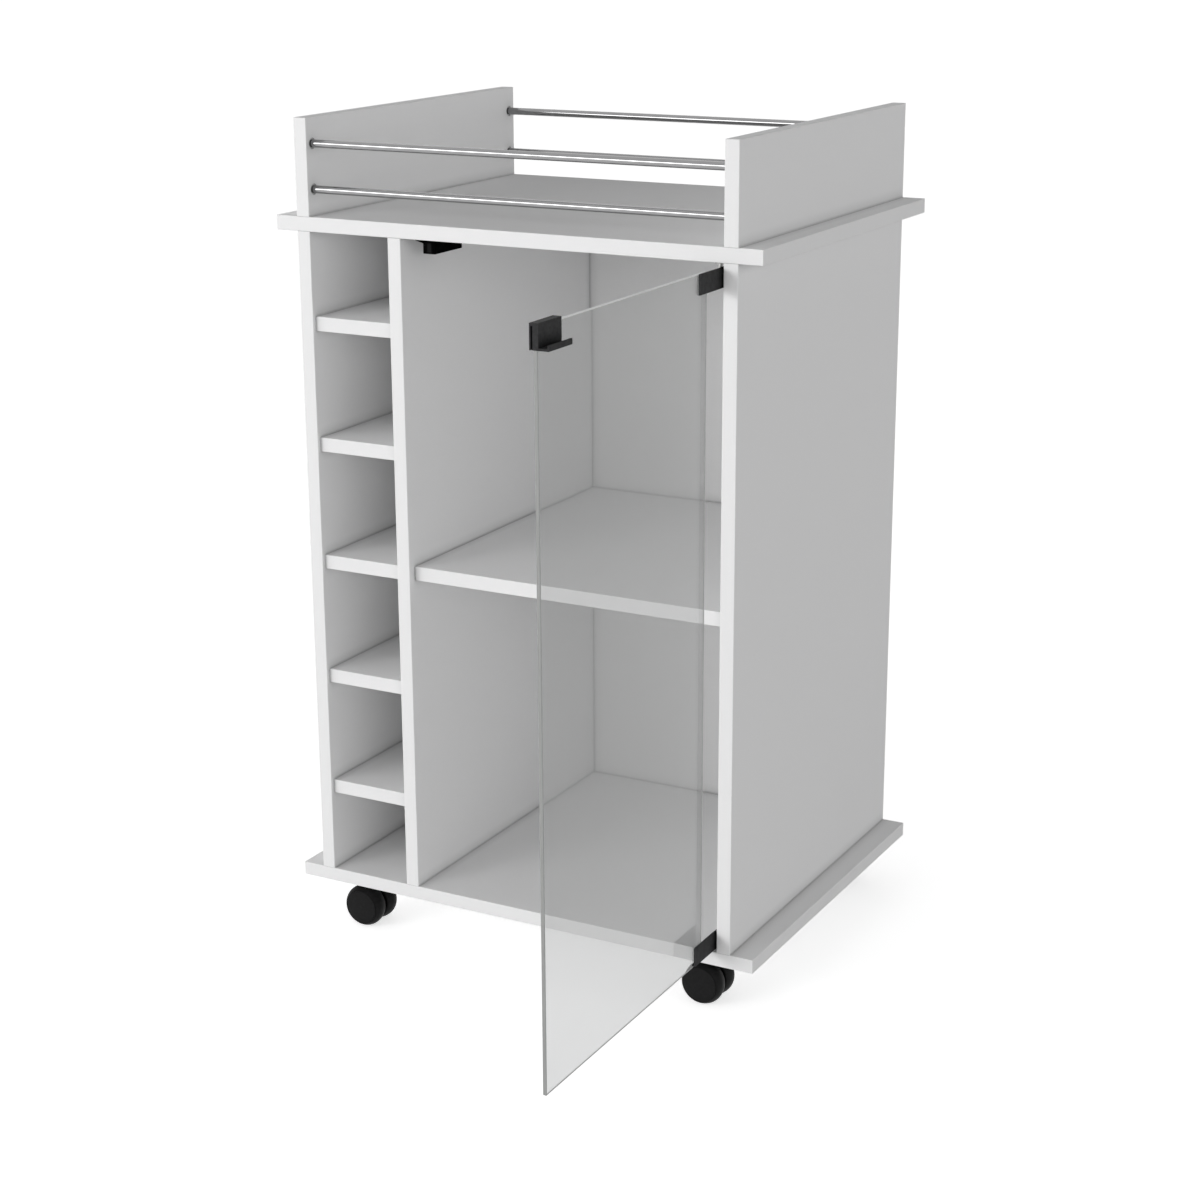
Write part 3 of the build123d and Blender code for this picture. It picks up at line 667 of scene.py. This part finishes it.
def seen_directly(tree):
    """1 for rays from the camera, from metal and through glass, 0 for the light that falls on the object.
    A ray's diffuse depth is 0 until it has left a matt surface."""
    path = tree.nodes.new("ShaderNodeLightPath").outputs
    mirror = calculate(tree, "MAXIMUM", path["Is Glossy Ray"], path["Is Transmission Ray"])
    seen = calculate(tree, "MAXIMUM", path["Is Camera Ray"], mirror)
    unscattered = calculate(tree, "LESS_THAN", path["Diffuse Depth"], 0.5)
    return calculate(tree, "MULTIPLY", seen, unscattered)


def white_surround(studio):
    """World that is white to look at. Its light comes from a bright band round the horizon, under a dim
    ceiling. The band is as bright on each side as the studio says: the share of a side is a power of the
    direction's part towards it."""
    world = bpy.data.worlds.new("white_surround")
    bpy.context.scene.world = world
    world.use_nodes = True
    tree = world.node_tree
    place = tree.nodes.new("ShaderNodeTexCoord")
    split = tree.nodes.new("ShaderNodeSeparateXYZ")
    tree.links.new(place.outputs["Generated"], split.inputs["Vector"])
    band = 0.0
    for axis, way, power, strength in (
        ("X", 1.0, 2.0, studio.sky_right),
        ("X", -1.0, 2.0, studio.sky_left),
        ("Y", 1.0, 2.0, studio.sky_back),
        ("Y", -1.0, 1.0, studio.sky_front),
    ):
        part = calculate(tree, "MULTIPLY", split.outputs[axis], way)
        towards = calculate(tree, "MAXIMUM", part, 0.0)
        share = calculate(tree, "POWER", towards, power)
        side = calculate(tree, "MULTIPLY", share, strength)
        band = calculate(tree, "ADD", side, band)
    fade = tree.nodes.new("ShaderNodeMapRange")
    fade.interpolation_type = "SMOOTHSTEP"
    fade.inputs["From Min"].default_value = BAND_TOP
    fade.inputs["From Max"].default_value = CEILING_START
    tree.links.new(split.outputs["Z"], fade.inputs["Value"])
    light = blend_to(tree, fade.outputs["Result"], band, studio.ceiling)
    surround = tree.nodes["Background"]
    surround.inputs["Color"].default_value = (1, 1, 1, 1)
    tree.links.new(blend_to(tree, seen_directly(tree), light, 1.0), surround.inputs["Strength"])


def pale_floor(studio):
    """Round floor sheet, z = 0: a grid over radius and angle. It keeps the shadow and looks white."""
    radii = np.linspace(0.0, studio.floor_radius, FLOOR_RINGS + 1)
    angles = np.linspace(0.0, 2 * np.pi, FLOOR_SIDES + 1)
    radius, angle = np.meshgrid(radii, angles, indexing="ij")
    points = np.stack([radius * np.cos(angle), radius * np.sin(angle), 0 * radius], axis=-1).reshape(-1, 3)
    row = FLOOR_SIDES + 1
    first = (np.arange(FLOOR_RINGS)[:, None] * row + np.arange(FLOOR_SIDES)).ravel()
    faces = np.stack([first, first + row, first + row + 1, first + 1], axis=1)
    mesh = bpy.data.meshes.new("studio_floor")
    mesh.from_pydata(points.tolist(), [], faces.tolist())
    floor = bpy.data.objects.new("studio_floor", mesh)
    bpy.context.scene.collection.objects.link(floor)
    material, tree, shader = new_material("pale_floor")
    shader.inputs["Base Color"].default_value = (0.9, 0.9, 0.9, 1)
    shader.inputs["Roughness"].default_value = 0.9
    shader.inputs["Specular IOR Level"].default_value = 0.0
    shader.inputs["Emission Color"].default_value = (1, 1, 1, 1)
    strength = calculate(tree, "MULTIPLY", seen_directly(tree), studio.floor_glow)
    tree.links.new(strength, shader.inputs["Emission Strength"])
    mesh.materials.append(material)


def front_softbox(studio):
    """Wide area lamp that faces the cart and that the camera doesn't see."""
    data = bpy.data.lights.new("front_softbox", "AREA")
    data.shape = "RECTANGLE"
    data.size = studio.softbox_width
    data.size_y = studio.softbox_height
    data.energy = studio.softbox_power
    lamp = bpy.data.objects.new("front_softbox", data)
    place, target = Vector(studio.softbox_place), Vector(studio.softbox_target)
    lamp.location = place
    lamp.rotation_euler = (target - place).to_track_quat("-Z", "Y").to_euler()
    lamp.visible_camera = False
    bpy.context.scene.collection.objects.link(lamp)


def photo_camera(studio):
    """Camera at the photograph's viewing angle: rolled, tilted below the horizon, then turned aside."""
    data = bpy.data.cameras.new("photo_camera")
    data.sensor_fit = "HORIZONTAL"
    data.sensor_width = 36.0
    data.lens = studio.focal_share * data.sensor_width
    data.clip_end = 200.0
    camera = bpy.data.objects.new("photo_camera", data)
    turn = Matrix.Rotation(studio.camera_yaw, 4, "Z")
    tilt = Matrix.Rotation(math.pi / 2 - studio.camera_pitch, 4, "X")
    roll = Matrix.Rotation(studio.camera_roll, 4, "Z")
    camera.matrix_world = Matrix.Translation(studio.camera_place) @ turn @ tilt @ roll
    bpy.context.scene.collection.objects.link(camera)
    bpy.context.scene.camera = camera


class CART_OT_studio(bpy.types.Operator):
    """Set up the floor, the light and the camera"""

    bl_idname = "cart.studio"
    bl_label = "Studio"

    def execute(self, context):
        studio = context.scene.cart_studio
        context.scene.view_settings.view_transform = "Standard"
        white_surround(studio)
        pale_floor(studio)
        front_softbox(studio)
        photo_camera(studio)
        return {"FINISHED"}


OPERATORS = (
    CART_OT_boards,
    CART_OT_rails,
    CART_OT_door,
    CART_OT_catch,
    CART_OT_casters,
    CART_OT_fasteners,
    CART_OT_studio,
)


class CART_PT_sidebar(bpy.types.Panel):
    """Sidebar list of the cart's pieces and values"""

    bl_idname = "CART_PT_sidebar"
    bl_label = "Bar cart"
    bl_space_type = "VIEW_3D"
    bl_region_type = "UI"
    bl_category = "Bar cart"

    def draw(self, context):
        layout = self.layout
        for operator in OPERATORS:
            layout.operator(operator.bl_idname)
        for group in (context.scene.cart_finishes, context.scene.cart_studio):
            for name in group.__annotations__:
                layout.prop(group, name)


CLASSES = (CartFinishes, CartStudio, *OPERATORS, CART_PT_sidebar)


def register():
    for cls in CLASSES:
        bpy.utils.register_class(cls)
    bpy.types.Scene.cart_finishes = bpy.props.PointerProperty(type=CartFinishes)
    bpy.types.Scene.cart_studio = bpy.props.PointerProperty(type=CartStudio)


def unregister():
    del bpy.types.Scene.cart_studio
    del bpy.types.Scene.cart_finishes
    for cls in reversed(CLASSES):
        bpy.utils.unregister_class(cls)


def main():
    register()
    bpy.ops.cart.boards()
    bpy.ops.cart.rails()
    bpy.ops.cart.door()
    bpy.ops.cart.catch()
    bpy.ops.cart.casters()
    bpy.ops.cart.fasteners()
    bpy.ops.cart.studio()


if __name__ == "__main__":
    main()
